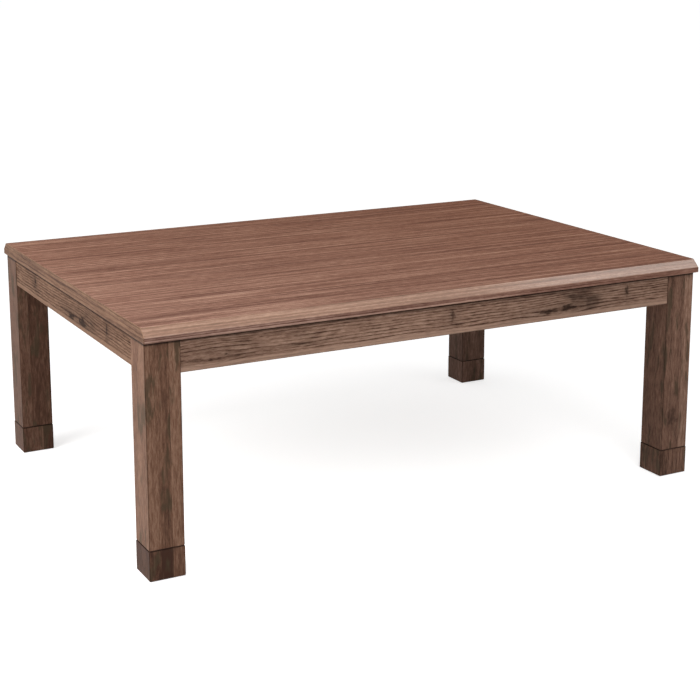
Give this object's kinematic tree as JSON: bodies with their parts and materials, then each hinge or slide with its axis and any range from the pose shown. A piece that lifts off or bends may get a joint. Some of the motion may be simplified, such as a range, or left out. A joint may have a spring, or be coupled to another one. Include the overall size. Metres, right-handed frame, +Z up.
{
  "type": "kotatsu table",
  "caption": "Low rectangular heated table: lift-off bevelled top on a walnut frame with square legs, pull-off extension feet and a guarded quartz heater under it.",
  "frame": {"origin": "on the floor, under the middle of the table standing on its extension feet", "axes": "+X along the long side, +Y to the back long side, +Z up"},
  "size_m": [1.05, 0.75, 0.4],
  "materials": {
    "leg_wood": "satin lacquered walnut-stained softwood, laminated",
    "foot_wood": "satin lacquered walnut-stained softwood, laminated",
    "apron_wood": "satin lacquered knotty walnut-stained softwood",
    "rail_wood": "sawn and planed softwood, unfinished",
    "particle_board": "raw particle board",
    "walnut_face": "satin walnut sheet",
    "walnut_edge": "satin walnut edge tape",
    "backing_sheet": "plain brown balancing sheet",
    "pad_rubber": "matt",
    "felt": "pressed felt",
    "zinc_steel": "bright zinc plated",
    "screw_steel": "zinc plated",
    "case_paint": "semi-gloss grey enamel",
    "guard_paint": "matt black flock coat",
    "reflector_aluminium": "bright rolled",
    "quartz": "clear fused quartz",
    "element_wire": "oxidised resistance wire",
    "ceramic": "unglazed steatite",
    "spring_steel": "bare",
    "dark_plastic": "moulded, fine matt texture",
    "fuse_body": "plain",
    "wire_sleeve": "braided glass sleeve",
    "pin_brass": "nickel-free turned brass"
  },
  "bodies": {
    "frame": {"apron_back": "apron_wood", "apron_front": "apron_wood", "apron_left": "apron_wood", "apron_right": "apron_wood", "bracket_screws": "screw_steel", "corner_brackets": "zinc_steel", "crosspiece_back": "rail_wood", "crosspiece_front": "rail_wood", "guard_cross_wires": "guard_paint", "guard_rim": "guard_paint", "guard_screws": "screw_steel", "guard_wires": "guard_paint", "heater_case": "case_paint", "heater_element": "element_wire", "heater_screws": "screw_steel", "heater_tube": "quartz", "inlet_pins": "pin_brass", "lead_wires": "wire_sleeve", "leg_back_left": "leg_wood", "leg_back_right": "leg_wood", "leg_bolts": "zinc_steel", "leg_front_left": "leg_wood", "leg_front_right": "leg_wood", "leg_inserts": "zinc_steel", "leg_nuts": "zinc_steel", "leg_washers": "zinc_steel", "power_inlet": "dark_plastic", "rail_left": "rail_wood", "rail_right": "rail_wood", "reflector": "reflector_aluminium", "thermal_fuse": "fuse_body", "thermostat": "dark_plastic", "top_pads": "pad_rubber", "tube_clip": "spring_steel", "tube_sockets": "ceramic"},
    "tabletop": {"top_backing_sheet": "backing_sheet", "top_core": "particle_board", "top_edge_tape_left": "walnut_edge", "top_edge_tape_right": "walnut_edge", "top_face_sheet": "walnut_face"},
    "front_left_foot": {"foot_front_left": "foot_wood", "foot_stud_front_left": "zinc_steel", "foot_felt_front_left": "felt"},
    "front_right_foot": {"foot_front_right": "foot_wood", "foot_stud_front_right": "zinc_steel", "foot_felt_front_right": "felt"},
    "back_left_foot": {"foot_back_left": "foot_wood", "foot_stud_back_left": "zinc_steel", "foot_felt_back_left": "felt"},
    "back_right_foot": {"foot_back_right": "foot_wood", "foot_stud_back_right": "zinc_steel", "foot_felt_back_right": "felt"}
  },
  "joints": [
    {"name": "tabletop_lift", "type": "slide", "parent": "frame", "child": "tabletop", "axis": [0, 0, 1], "range_m": [0, 0.12]},
    {"name": "front_left_foot_off", "type": "slide", "parent": "frame", "child": "front_left_foot", "axis": [0, 0, -1], "range_m": [0, 0.03]},
    {"name": "front_right_foot_off", "type": "slide", "parent": "frame", "child": "front_right_foot", "axis": [0, 0, -1], "range_m": [0, 0.03]},
    {"name": "back_left_foot_off", "type": "slide", "parent": "frame", "child": "back_left_foot", "axis": [0, 0, -1], "range_m": [0, 0.03]},
    {"name": "back_right_foot_off", "type": "slide", "parent": "frame", "child": "back_right_foot", "axis": [0, 0, -1], "range_m": [0, 0.03]}
  ]
}
